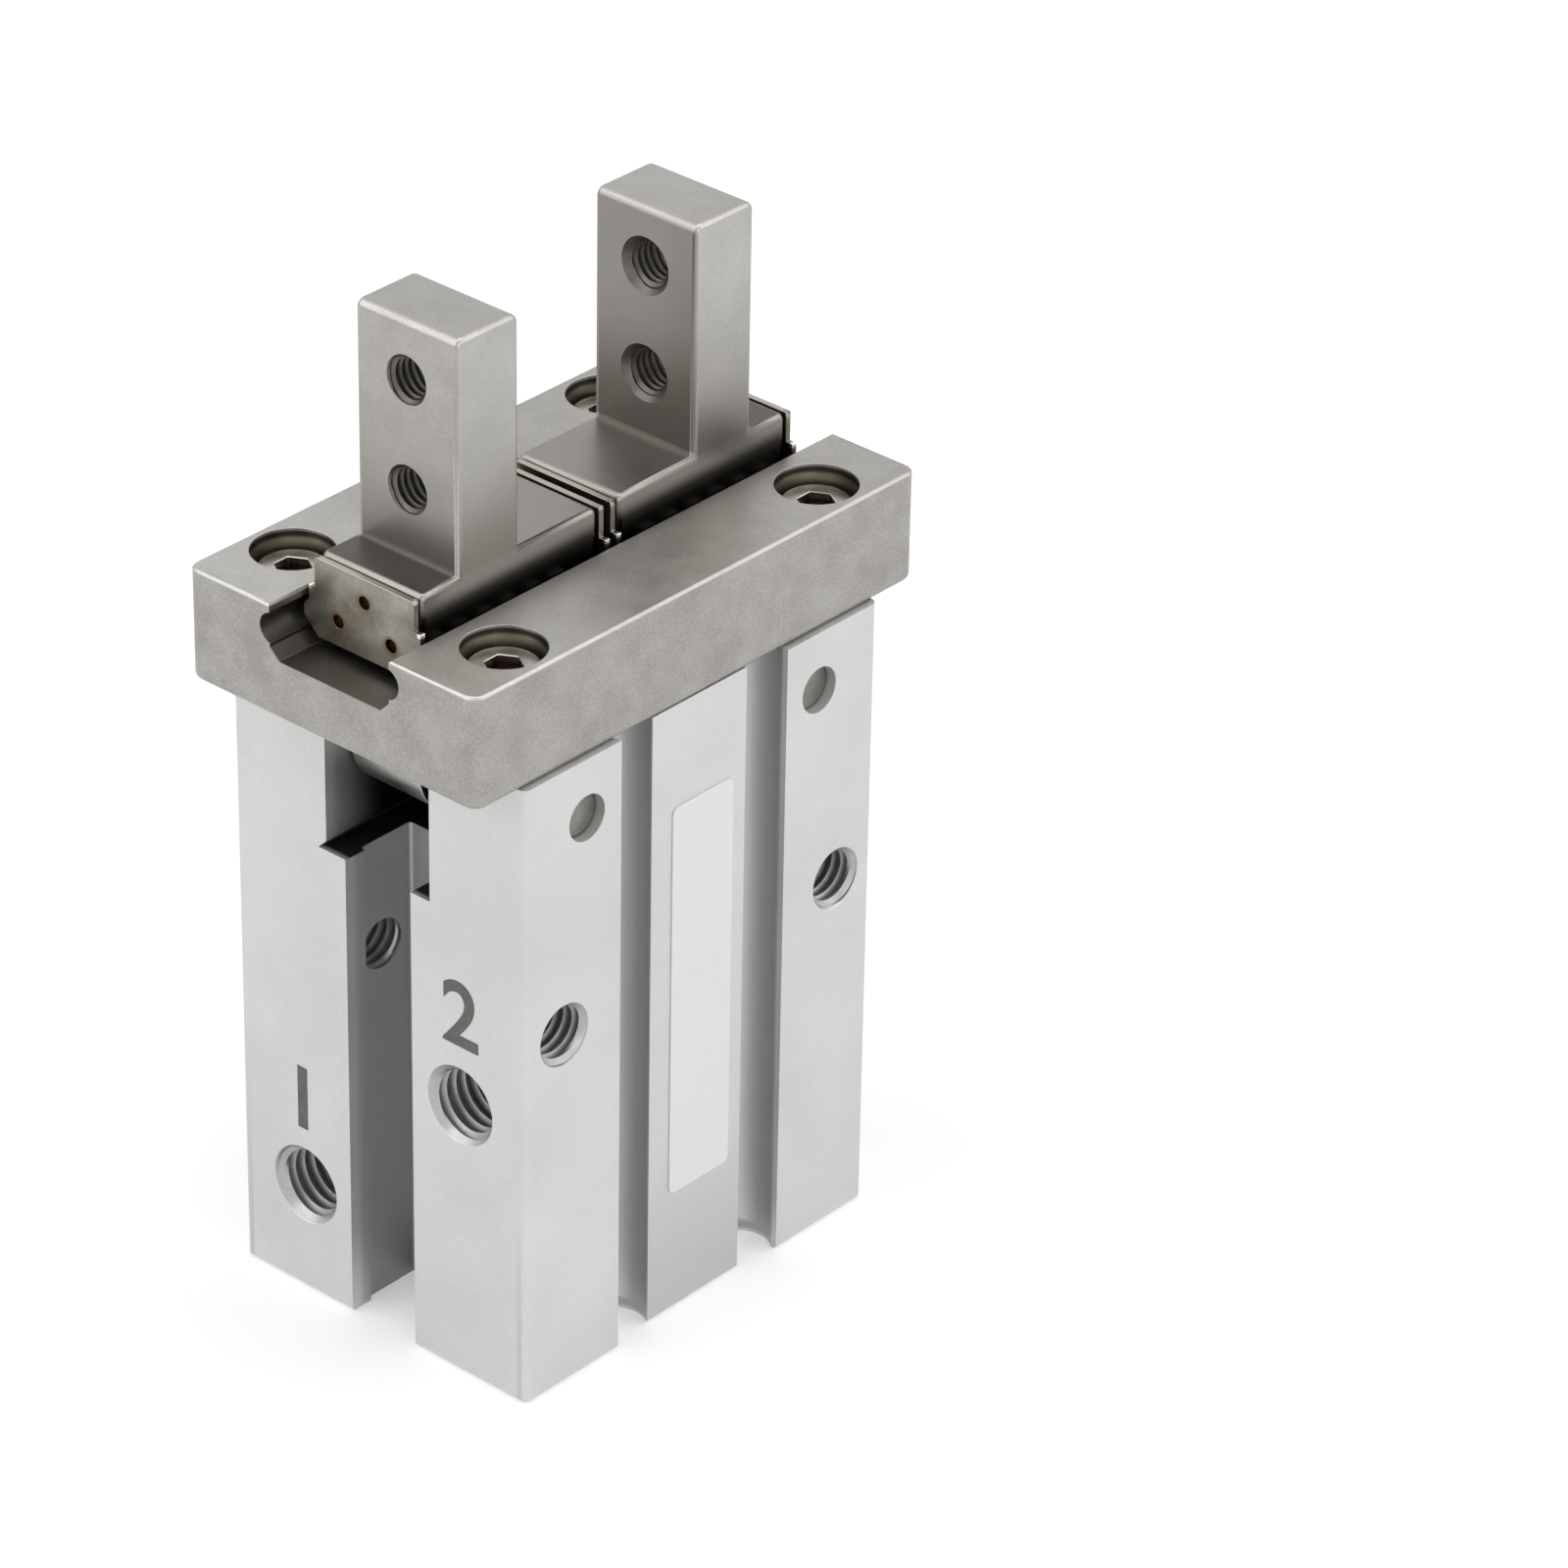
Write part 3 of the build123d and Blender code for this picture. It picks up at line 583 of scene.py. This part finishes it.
def tumbled_steel():
    """Tumbled sides and a ground top, the top lighter partly by its finish and partly by painted light and
    painted darker towards +X, with painted shade in the channel and counterbores.
    """
    finish = Finish("tumbled steel of the guide", roughness=0.40)
    value = finish.mottle(rgb(0.305, 0.293, 0.271), rgb(0.385, 0.373, 0.351), cloud=2.4 * mm, speck=0.16 * mm,
                          strength=0.8)
    finish.vary_roughness(value, low=0.44, high=0.37)
    height = finish.along("Z")
    # The top is lighter than the sides, partly its ground finish and partly painted light.
    on_top = finish.beyond(height, guide_high.z - 0.3 * mm)
    light_top = finish.clouds(rgb(0.415, 0.403, 0.38), rgb(0.47, 0.458, 0.435), cloud=2.0 * mm,
                              speck=0.2 * mm, strength=0.8)
    finish.tone(light_top["Color"], on_top, start=0.0, end=0.2 * mm)
    # Painted shade: the top darkens towards +X.
    dark_top = finish.clouds(rgb(0.275, 0.262, 0.24), rgb(0.315, 0.302, 0.28), cloud=2.0 * mm, speck=0.2 * mm,
                             strength=0.8)
    finish.tone(dark_top["Color"],
                finish.least(on_top, finish.beyond(finish.along("X"), guide_low.x, slope=0.02)),
                start=0.0, end=0.6 * mm)
    below_top = finish.beyond(height, guide_high.z, slope=-1)
    # Painted shade in the channel.
    in_channel = finish.least(below_top, finish.beyond(finish.from_middle("Y"), channel_half, slope=-10),
                              finish.beyond(height, channel_floor - 0.1 * mm, slope=10),
                              finish.beyond(finish.from_middle("X"), guide_high.x - 0.05 * mm, slope=-50))
    finish.tone(rgb(0.15, 0.138, 0.125), in_channel, start=0.1 * mm, end=1.0 * mm)
    # Painted shade: a dark ring below each counterbore rim, and a dim olive tone further down.
    in_counterbore = finish.least(below_top,
                                  finish.beyond(finish.from_axis(screw_x, screw_y), screw_hole, slope=-10))
    finish.tone(rgb(0.05, 0.046, 0.036), in_counterbore, start=0.1 * mm, end=0.25 * mm)
    finish.tone(rgb(0.27, 0.255, 0.205), in_counterbore, start=0.4 * mm, end=0.7 * mm)
    finish.grain(size=0.14 * mm, depth=0.008 * mm)
    return finish.material


def satin_steel():
    """Ground uprights, with painted light on the wide faces and painted shade where they face each other,
    from the tip down to the base, on the ledge and down the base's flanks.
    """
    finish = Finish("satin steel of the fingers", roughness=0.34)
    value = finish.mottle(rgb(0.35, 0.337, 0.317), rgb(0.41, 0.397, 0.375), cloud=3 * mm, speck=0.18 * mm,
                          strength=0.7)
    finish.vary_roughness(value, low=0.38, high=0.31)
    height = finish.along("Z")
    # Painted light: the wide faces are lighter than the ends.
    wide = finish.clouds(rgb(0.405, 0.393, 0.373), rgb(0.455, 0.443, 0.423), cloud=3 * mm, speck=0.18 * mm,
                         strength=0.7)
    finish.tone(wide["Color"], finish.beyond(finish.from_middle("Y"), finger_half - 0.1 * mm), start=0,
                end=0.08 * mm)
    below_tip = finish.beyond(height, finger_high.z, slope=-1)
    on_base = finish.beyond(height, base_top, slope=-1)
    # Painted shade: darker from the tip down towards the base.
    finish.tone(rgb(0.235, 0.225, 0.208), below_tip, start=3 * mm, end=17 * mm)
    # Painted shade on the faces that look at each other, darkest low down.
    facing = finish.least(finish.beyond(finish.from_middle("X"), jaw_inner_face + 0.25 * mm, slope=-4),
                          finish.beyond(height, base_top + 0.2 * mm, slope=4))
    finish.tone(rgb(0.25, 0.238, 0.22), facing, start=0.0, end=0.8 * mm)
    finish.tone(rgb(0.13, 0.121, 0.109), finish.least(facing, finish.beyond(below_tip, 6 * mm, slope=0.1)),
                start=0.0, end=0.8 * mm)
    # Painted shade: the base is darker than the upright.
    finish.tone(rgb(0.28, 0.268, 0.248), on_base, start=-0.1 * mm, end=0.05 * mm)
    # Painted shade on the ledge at the foot of the upright.
    on_ledge = finish.least(finish.beyond(on_base, -0.3 * mm), finish.beyond(on_base, 0.05 * mm, slope=-10),
                            finish.beyond(finish.from_middle("X"), jaw_inner_face + jaw_thickness + 0.1 * mm),
                            finish.beyond(finish.from_middle("X"), ledge_end - 0.1 * mm, slope=-1))
    finish.tone(rgb(0.11, 0.10, 0.088), on_ledge, start=0.0, end=0.3 * mm)
    # Painted shade: the flanks of the base go nearly black below its top.
    finish.tone(rgb(0.035, 0.032, 0.028), on_base, start=0.55 * mm, end=1.7 * mm)
    for y, drop in plate_holes:
        beside = finish.beyond(finish.from_rod(y, base_top - drop), 0.55 * mm, slope=-10)
        finish.tone(rgb(0.46, 0.33, 0.20), beside, start=0.0, end=0.5 * mm)
    finish.scratches(stretch=(1, 1, 0.06), width=0.07 * mm, depth=0.004 * mm)
    return finish.material


def sheet_steel():
    """Rolled sheet with a brown tinge, amber round its small holes, with a painted highlight along its top
    edge and at its ears.
    """
    finish = Finish("end plate sheet", roughness=0.30)
    value = finish.mottle(rgb(0.15, 0.132, 0.10), rgb(0.37, 0.352, 0.32), cloud=3.2 * mm, speck=0.15 * mm,
                          strength=0.2)
    finish.vary_roughness(value, low=0.36, high=0.26)
    height = finish.along("Z")
    for y, drop in plate_holes:
        around = finish.beyond(finish.from_rod(y, base_top - drop), 0.9 * mm, slope=-1)
        finish.tone(rgb(0.19, 0.135, 0.078), around, start=0.1 * mm, end=0.5 * mm)
    # Painted highlight along the top edge.
    finish.tone(rgb(0.42, 0.40, 0.345), finish.beyond(height, base_top - 0.2 * mm), start=0.0, end=0.04 * mm)
    # Painted highlight: the shoulders of the ears are made nearly white.
    ears = finish.least(finish.beyond(finish.from_middle("Y"), 4.15 * mm),
                        finish.beyond(height, guide_high.z))
    finish.tone(rgb(0.80, 0.79, 0.76), ears, start=0.0, end=0.12 * mm)
    finish.scratches(stretch=(1, 0.08, 1), width=0.06 * mm, depth=0.002 * mm)
    return finish.material


def socket_screw_steel():
    """Bright turned heads with a knurled side, and painted shade in the socket."""
    finish = Finish("screw steel", roughness=0.26)
    value = finish.mottle(rgb(0.44, 0.42, 0.38), rgb(0.56, 0.54, 0.50), cloud=1.2 * mm, speck=0.12 * mm,
                          strength=0.4)
    finish.vary_roughness(value, low=0.30, high=0.22)
    height = finish.along("Z")
    head_top = guide_high.z - screw_head_drop
    radius = finish.from_axis(screw_x, screw_y)
    # Painted shade inside the socket.
    in_socket = finish.least(finish.beyond(height, head_top, slope=-1),
                             finish.beyond(radius, screw_socket_reach, slope=-10))
    finish.tone(rgb(0.17, 0.125, 0.108), in_socket, start=0.3 * mm, end=0.5 * mm)
    angle = math(finish.tree, "ARCTAN2", math(finish.tree, "SUBTRACT", finish.from_middle("Y"), screw_y),
                 math(finish.tree, "SUBTRACT", finish.from_middle("X"), screw_x))
    ridges = math(finish.tree, "SINE", math(finish.tree, "MULTIPLY", angle, screw_ridges))
    on_side = math(finish.tree, "GREATER_THAN", radius, screw_head_radius - 0.06 * mm)
    finish.bump(math(finish.tree, "MULTIPLY", ridges, on_side), depth=0.03 * mm)
    return finish.material


def bright_steel(name, dark, light, roughness):
    """Turned or ground metal with a fine grain."""
    finish = Finish(name, roughness=roughness)
    value = finish.mottle(dark, light, cloud=1.5 * mm, speck=0.12 * mm, strength=0.4)
    finish.vary_roughness(value, low=roughness + 0.05, high=roughness - 0.03)
    finish.grain(size=0.08 * mm, depth=0.002 * mm)
    return finish.material


def soft_black(name, level, roughness):
    """Rubber, or a magnet in its binder."""
    finish = Finish(name, roughness=roughness, metallic=0.0)
    dark = level * 0.8
    light = level * 1.2
    value = finish.mottle(rgb(dark, dark, dark), rgb(light, light, light), cloud=2 * mm, speck=0.2 * mm,
                          strength=0.4)
    finish.vary_roughness(value, low=roughness + 0.05, high=roughness - 0.05)
    finish.grain(size=0.12 * mm, depth=0.006 * mm)
    return finish.material


def label_film():
    """A smooth white film without any print."""
    finish = Finish("label film", roughness=0.30, metallic=0.0)
    value = finish.mottle(rgb(0.77, 0.782, 0.787), rgb(0.79, 0.802, 0.807), cloud=9 * mm, speck=0.3 * mm,
                          strength=0.03)
    finish.vary_roughness(value, low=0.32, high=0.29)
    finish.grain(size=0.25 * mm, depth=0.001 * mm)
    return finish.material


def printed_grey():
    """The worn grey of a laser mark."""
    finish = Finish("laser mark", roughness=0.55, metallic=0.0)
    finish.mottle(rgb(0.085, 0.08, 0.075), rgb(0.13, 0.125, 0.115), cloud=0.6 * mm, speck=0.1 * mm,
                  strength=0.8)
    return finish.material


aluminium = anodised_aluminium()
guide_steel = tumbled_steel()
finger_steel = satin_steel()
plate_steel = sheet_steel()
screw_steel = socket_screw_steel()
pin_steel = bright_steel("ground pins", rgb(0.40, 0.395, 0.37), rgb(0.50, 0.49, 0.46), roughness=0.30)
# The lever shafts are darker than the pins.
shaft_steel = bright_steel("darker shafts", rgb(0.19, 0.184, 0.165), rgb(0.25, 0.243, 0.222), roughness=0.36)
# Painted shade: the balls are made dark where they sit in the gap beside the fingers.
ball_steel = bright_steel("dark balls in painted shade", rgb(0.10, 0.10, 0.098), rgb(0.16, 0.16, 0.155), roughness=0.22)
lever_steel = bright_steel("lever steel", rgb(0.36, 0.35, 0.34), rgb(0.46, 0.45, 0.44), roughness=0.30)
piston_steel = bright_steel("turned piston", rgb(0.50, 0.50, 0.50), rgb(0.58, 0.58, 0.58), roughness=0.22)
cap_metal = bright_steel("end cap", rgb(0.55, 0.55, 0.555), rgb(0.62, 0.62, 0.625), roughness=0.36)
ring_steel = bright_steel("phosphated ring", rgb(0.045, 0.045, 0.048), rgb(0.08, 0.08, 0.082), roughness=0.42)
thread_metal = bright_steel("cut threads in aluminium", rgb(0.36, 0.36, 0.355), rgb(0.44, 0.44, 0.435),
                            roughness=0.42)
# Painted shade: the threads in the fingers' holes are made dark.
jaw_thread_metal = bright_steel("cut threads in steel", rgb(0.10, 0.092, 0.082), rgb(0.15, 0.14, 0.125),
                                roughness=0.40)
seal_rubber = soft_black("seal rubber", level=0.02, roughness=0.55)
bumper_rubber = soft_black("bumper rubber", level=0.03, roughness=0.65)
magnet_black = soft_black("bonded magnet", level=0.035, roughness=0.5)
label_white = label_film()
mark_grey = printed_grey()


# Pieces that stand for the solids

def housing_holes():
    """The two air ports, the four mounting holes of the wide faces and the two of the bottom."""
    holes = [TappedHole(mouth, (1, 0, 0), port_core, port_mouth, port_pitch, port_depth)
             for mouth in (open_port, close_port)]
    for end in (-1, 1):
        for side in (-1, 1):
            mouth = (end * mount_x, side * back_face, side_mount_height)
            holes.append(TappedHole(mouth, (0, -side, 0), mount_core, mount_mouth, mount_pitch,
                                    side_mount_depth))
        mouth = (end * mount_x, end * mount_y, 0)
        holes.append(TappedHole(mouth, (0, 0, 1), mount_core, mount_mouth, mount_pitch, bottom_mount_depth))
    return holes


def jaw_holes(end):
    """The two holes of a finger, which go right through it."""
    return [TappedHole((end * jaw_inner_face, 0, height), (end, 0, 0), jaw_core, jaw_inner_mouth,
                       jaw_thread_pitch, jaw_thickness, jaw_outer_mouth) for height in jaw_heights]


def middle_of(edge):
    return (edge.verts[0].co + edge.verts[1].co) / 2


def finger_wear(edge):
    """How far an edge of a finger is rounded: most at the tip. Its short inner edges stay sharp."""
    if middle_of(edge).z > finger_high.z - tip_band:
        return 1
    return crisp_share if edge.calc_length() > finger_short_edge else 0


def plate_wear(edge):
    """How far an edge of an end plate is rounded: its upper corners fully, the rim of the sheet a little."""
    along = edge.verts[1].co - edge.verts[0].co
    through = abs(along.x) > 0.9 * along.length
    upper = middle_of(edge).z > base_top - plate_corner_band
    return 1 if through and upper and abs(middle_of(edge).y) > plate_corner_y else sheet_share


def guide_wear(edge):
    """How far an edge of the guide is rounded.

    Most along the outline of its top and bottom, and not at all at the arcs of its ball grooves.
    """
    place = middle_of(edge)
    from_end = guide_high.x - abs(place.x)
    from_side = guide_high.y - abs(place.y)
    flat = place.z > guide_high.z - face_band or place.z < guide_low.z + face_band
    if flat and (min(from_end, from_side) < face_band or max(from_end, from_side) < guide_corner):
        return 1
    from_screw = Vector((abs(place.x) - screw_x, abs(place.y) - screw_y)).length
    seen = flat or from_screw < counterbore_reach or edge.calc_length() > guide_long_edge
    return crisp_share if seen else 0


def dress_solids():
    dress("housing", "housing_shell", [aluminium, thread_metal], edge=0.10 * mm, holes=housing_holes())
    dress("guide", "guide_block", [guide_steel], edge=0.25 * mm, segments=3, wear=guide_wear)
    dress("guide_screws", "screws", [screw_steel], edge=0.08 * mm)
    dress("dowel_pins", "dowels", [pin_steel])
    dress("lever_shafts", "shafts", [shaft_steel], edge=0.15 * mm)
    dress("end_cap", "cap", [cap_metal], edge=0.08 * mm)
    dress("cap_gasket", "gasket", [seal_rubber])
    dress("retaining_ring", "snap_ring", [ring_steel], edge=0.08 * mm)
    dress("lower_bumper", "bumper_below", [bumper_rubber])
    dress("upper_bumper", "bumper_above", [bumper_rubber])
    dress("rod_seal", "seal_of_rod", [seal_rubber])
    dress("piston", "piston_and_rod", [piston_steel], edge=0.08 * mm)
    dress("piston_seal", "seal_of_piston", [seal_rubber])
    dress("magnet_ring", "magnet", [magnet_black])
    dress("rod_rollers", "rollers_of_rod", [pin_steel], edge=0.1 * mm)
    for end, side in ((-1, "left"), (1, "right")):
        dress(f"finger_{side}", f"jaw_{side}", [finger_steel, jaw_thread_metal], edge=0.2 * mm, segments=3,
              holes=jaw_holes(end), wear=finger_wear)
        dress(f"finger_roller_{side}", f"roller_{side}", [pin_steel], edge=0.1 * mm)
        dress(f"outer_end_plate_{side}", f"outer_plate_{side}", [plate_steel], edge=0.5 * mm, segments=4,
              wear=plate_wear)
        dress(f"inner_end_plate_{side}", f"inner_plate_{side}", [plate_steel], edge=0.5 * mm, segments=4,
              wear=plate_wear)
        dress(f"front_balls_{side}", f"balls_front_{side}", [ball_steel])
        dress(f"back_balls_{side}", f"balls_back_{side}", [ball_steel])
        dress(f"lever_{side}", f"bell_crank_{side}", [lever_steel], edge=0.12 * mm)


def label():
    """A bare film label with rounded corners on the front rib."""
    bm = bmesh.new()
    bmesh.ops.create_cube(bm, size=1)
    width = label_right - label_left
    height = label_top - label_bottom
    middle = Vector((label_left + label_right, 2 * label_face - label_thickness,
                     label_bottom + label_top)) / 2
    bmesh.ops.scale(bm, vec=(width, label_thickness, height), verts=bm.verts)
    corners = [edge for edge in bm.edges
               if abs((edge.verts[0].co - edge.verts[1].co).y) > label_thickness / 2]
    bmesh.ops.bevel(bm, geom=corners, offset=label_corner, segments=5, profile=0.5, affect="EDGES",
                    material=-1)
    bmesh.ops.translate(bm, vec=middle, verts=bm.verts)
    mark_hard_edges(bm)
    piece = add_piece("label", bm, [label_white], "housing")
    break_edges(piece, label_edge, segments=1)


def port_mark(text, name, y, height):
    """A plain number beside an air port, printed flat on the port face."""
    curve = bpy.data.curves.new(name, "FONT")
    curve.body = text
    curve.size = mark_height / figure_share
    curve.extrude = mark_thickness / 2
    curve.offset = mark_weight
    curve.align_x = "CENTER"
    curve.align_y = "CENTER"
    drawn = bpy.data.objects.new(name, curve)
    bpy.context.scene.collection.objects.link(drawn)
    bpy.context.view_layer.update()
    bm = bmesh.new()
    bm.from_mesh(bpy.data.meshes.new_from_object(drawn))
    bmesh.ops.remove_doubles(bm, verts=bm.verts, dist=weld_distance)
    bpy.data.objects.remove(drawn)
    facing = Matrix(((0, 0, -1), (-1, 0, 0), (0, 1, 0))).to_4x4()
    bm.transform(Matrix.Translation((port_face - mark_thickness / 2, y, height)) @ facing)
    add_piece(name, bm, [mark_grey], "housing")


# Stage

ambient = 0.42
floor_glow = 0.3
floor_colour = rgb(0.8, 0.8, 0.8)
floor_roughness = 0.9
floor_radius = 4.0
camera_near = 0.01
camera_far = 20
lamp_target = Vector((0, 0, 35 * mm))

# Each lamp's name, its place from the target, and the size and power of its disk
lamps = (("overhead", Vector((0.05, 0.0, 0.55)), 0.50, 0.9),
         ("left key", 0.55 * Vector((-0.60, 0.45, 0.62)), 0.62, 1.2),
         ("right key", 0.55 * Vector((0.58, -0.58, 0.55)), 0.62, 1.0),
         ("front fill", 0.6 * Vector((-0.35, -0.75, 0.35)), 0.40, 0.5))


def seen_directly(tree):
    """1 on the camera's rays, direct, in a gloss or through glass, and 0 on the rays that light things."""
    path = tree.nodes.new("ShaderNodeLightPath")
    through = math(tree, "MAXIMUM", path.outputs["Is Camera Ray"], path.outputs["Is Transmission Ray"])
    return math(tree, "MAXIMUM", through, path.outputs["Is Glossy Ray"])


def white_where_seen(tree, plain, strength):
    """Adds white to a plain surface where it is seen."""
    seen = seen_directly(tree)
    glow = tree.nodes.new("ShaderNodeEmission")
    glow.inputs["Color"].default_value = rgb(1, 1, 1)
    tree.links.new(math(tree, "MULTIPLY", seen, strength), glow.inputs["Strength"])
    both = tree.nodes.new("ShaderNodeAddShader")
    tree.links.new(plain, both.inputs[0])
    tree.links.new(glow.outputs[0], both.inputs[1])
    return both.outputs[0]


def make_floor():
    material = bpy.data.materials.new("studio floor")
    material.use_nodes = True
    tree = material.node_tree
    shader = tree.nodes["Principled BSDF"]
    shader.inputs["Base Color"].default_value = floor_colour
    shader.inputs["Roughness"].default_value = floor_roughness
    surface = white_where_seen(tree, shader.outputs[0], floor_glow)
    tree.links.new(surface, tree.nodes["Material Output"].inputs["Surface"])
    bm = bmesh.new()
    bmesh.ops.create_circle(bm, cap_ends=True, radius=floor_radius, segments=96)
    mesh = bpy.data.meshes.new("floor")
    bm.to_mesh(mesh)
    bm.free()
    floor = bpy.data.objects.new("floor", mesh)
    bpy.context.scene.collection.objects.link(floor)
    mesh.materials.append(material)


def make_world():
    world = bpy.data.worlds.new("studio")
    bpy.context.scene.world = world
    world.use_nodes = True
    tree = world.node_tree
    background = tree.nodes["Background"]
    background.inputs["Color"].default_value = rgb(1, 1, 1)
    strength = math(tree, "ADD", math(tree, "MULTIPLY", seen_directly(tree), 1 - ambient), ambient)
    tree.links.new(strength, background.inputs["Strength"])


def soft_light(name, place, target, size, power):
    lamp = bpy.data.lights.new(name, "AREA")
    lamp.shape = "DISK"
    lamp.size = size
    lamp.energy = power
    light = bpy.data.objects.new(name, lamp)
    light.location = place
    light.rotation_mode = "QUATERNION"
    light.rotation_quaternion = (target - place).to_track_quat("-Z", "Y")
    bpy.context.scene.collection.objects.link(light)


def make_lights():
    """An overhead light, one beyond each visible side, where the rounded edges catch it, and a weak fill."""
    for name, place, size, power in lamps:
        soft_light(name, lamp_target + place, lamp_target, size, power)


def make_camera():
    """Puts the camera where the photograph was taken from."""
    back = Vector((sin(view_azimuth) * cos(view_elevation), -cos(view_azimuth) * cos(view_elevation),
                   sin(view_elevation)))
    level = Vector((cos(view_azimuth), sin(view_azimuth), 0))
    plumb = (-back).cross(level)
    right = level * cos(view_roll) + plumb * sin(view_roll)
    down = plumb * cos(view_roll) - level * sin(view_roll)
    metres_per_pixel = aim_distance / focal_pixels
    across = (aim_pixel_x - photo_width / 2) * metres_per_pixel
    below = (aim_pixel_y - photo_width / 2) * metres_per_pixel
    camera_data = bpy.data.cameras.new("camera")
    camera_data.sensor_width = sensor_width
    camera_data.lens = focal_pixels * sensor_width / photo_width
    camera_data.clip_start = camera_near
    camera_data.clip_end = camera_far
    camera = bpy.data.objects.new("camera", camera_data)
    camera.location = aim + aim_distance * back - across * right - below * down
    camera.rotation_mode = "QUATERNION"
    camera.rotation_quaternion = Matrix((right, -down, back)).transposed().to_quaternion()
    bpy.context.scene.collection.objects.link(camera)
    bpy.context.scene.camera = camera


dress_solids()
label()
port_mark("1", "open_port_number", *open_mark)
port_mark("2", "close_port_number", *close_mark)
make_floor()
make_world()
make_lights()
make_camera()
bpy.context.scene.view_settings.view_transform = "Standard"
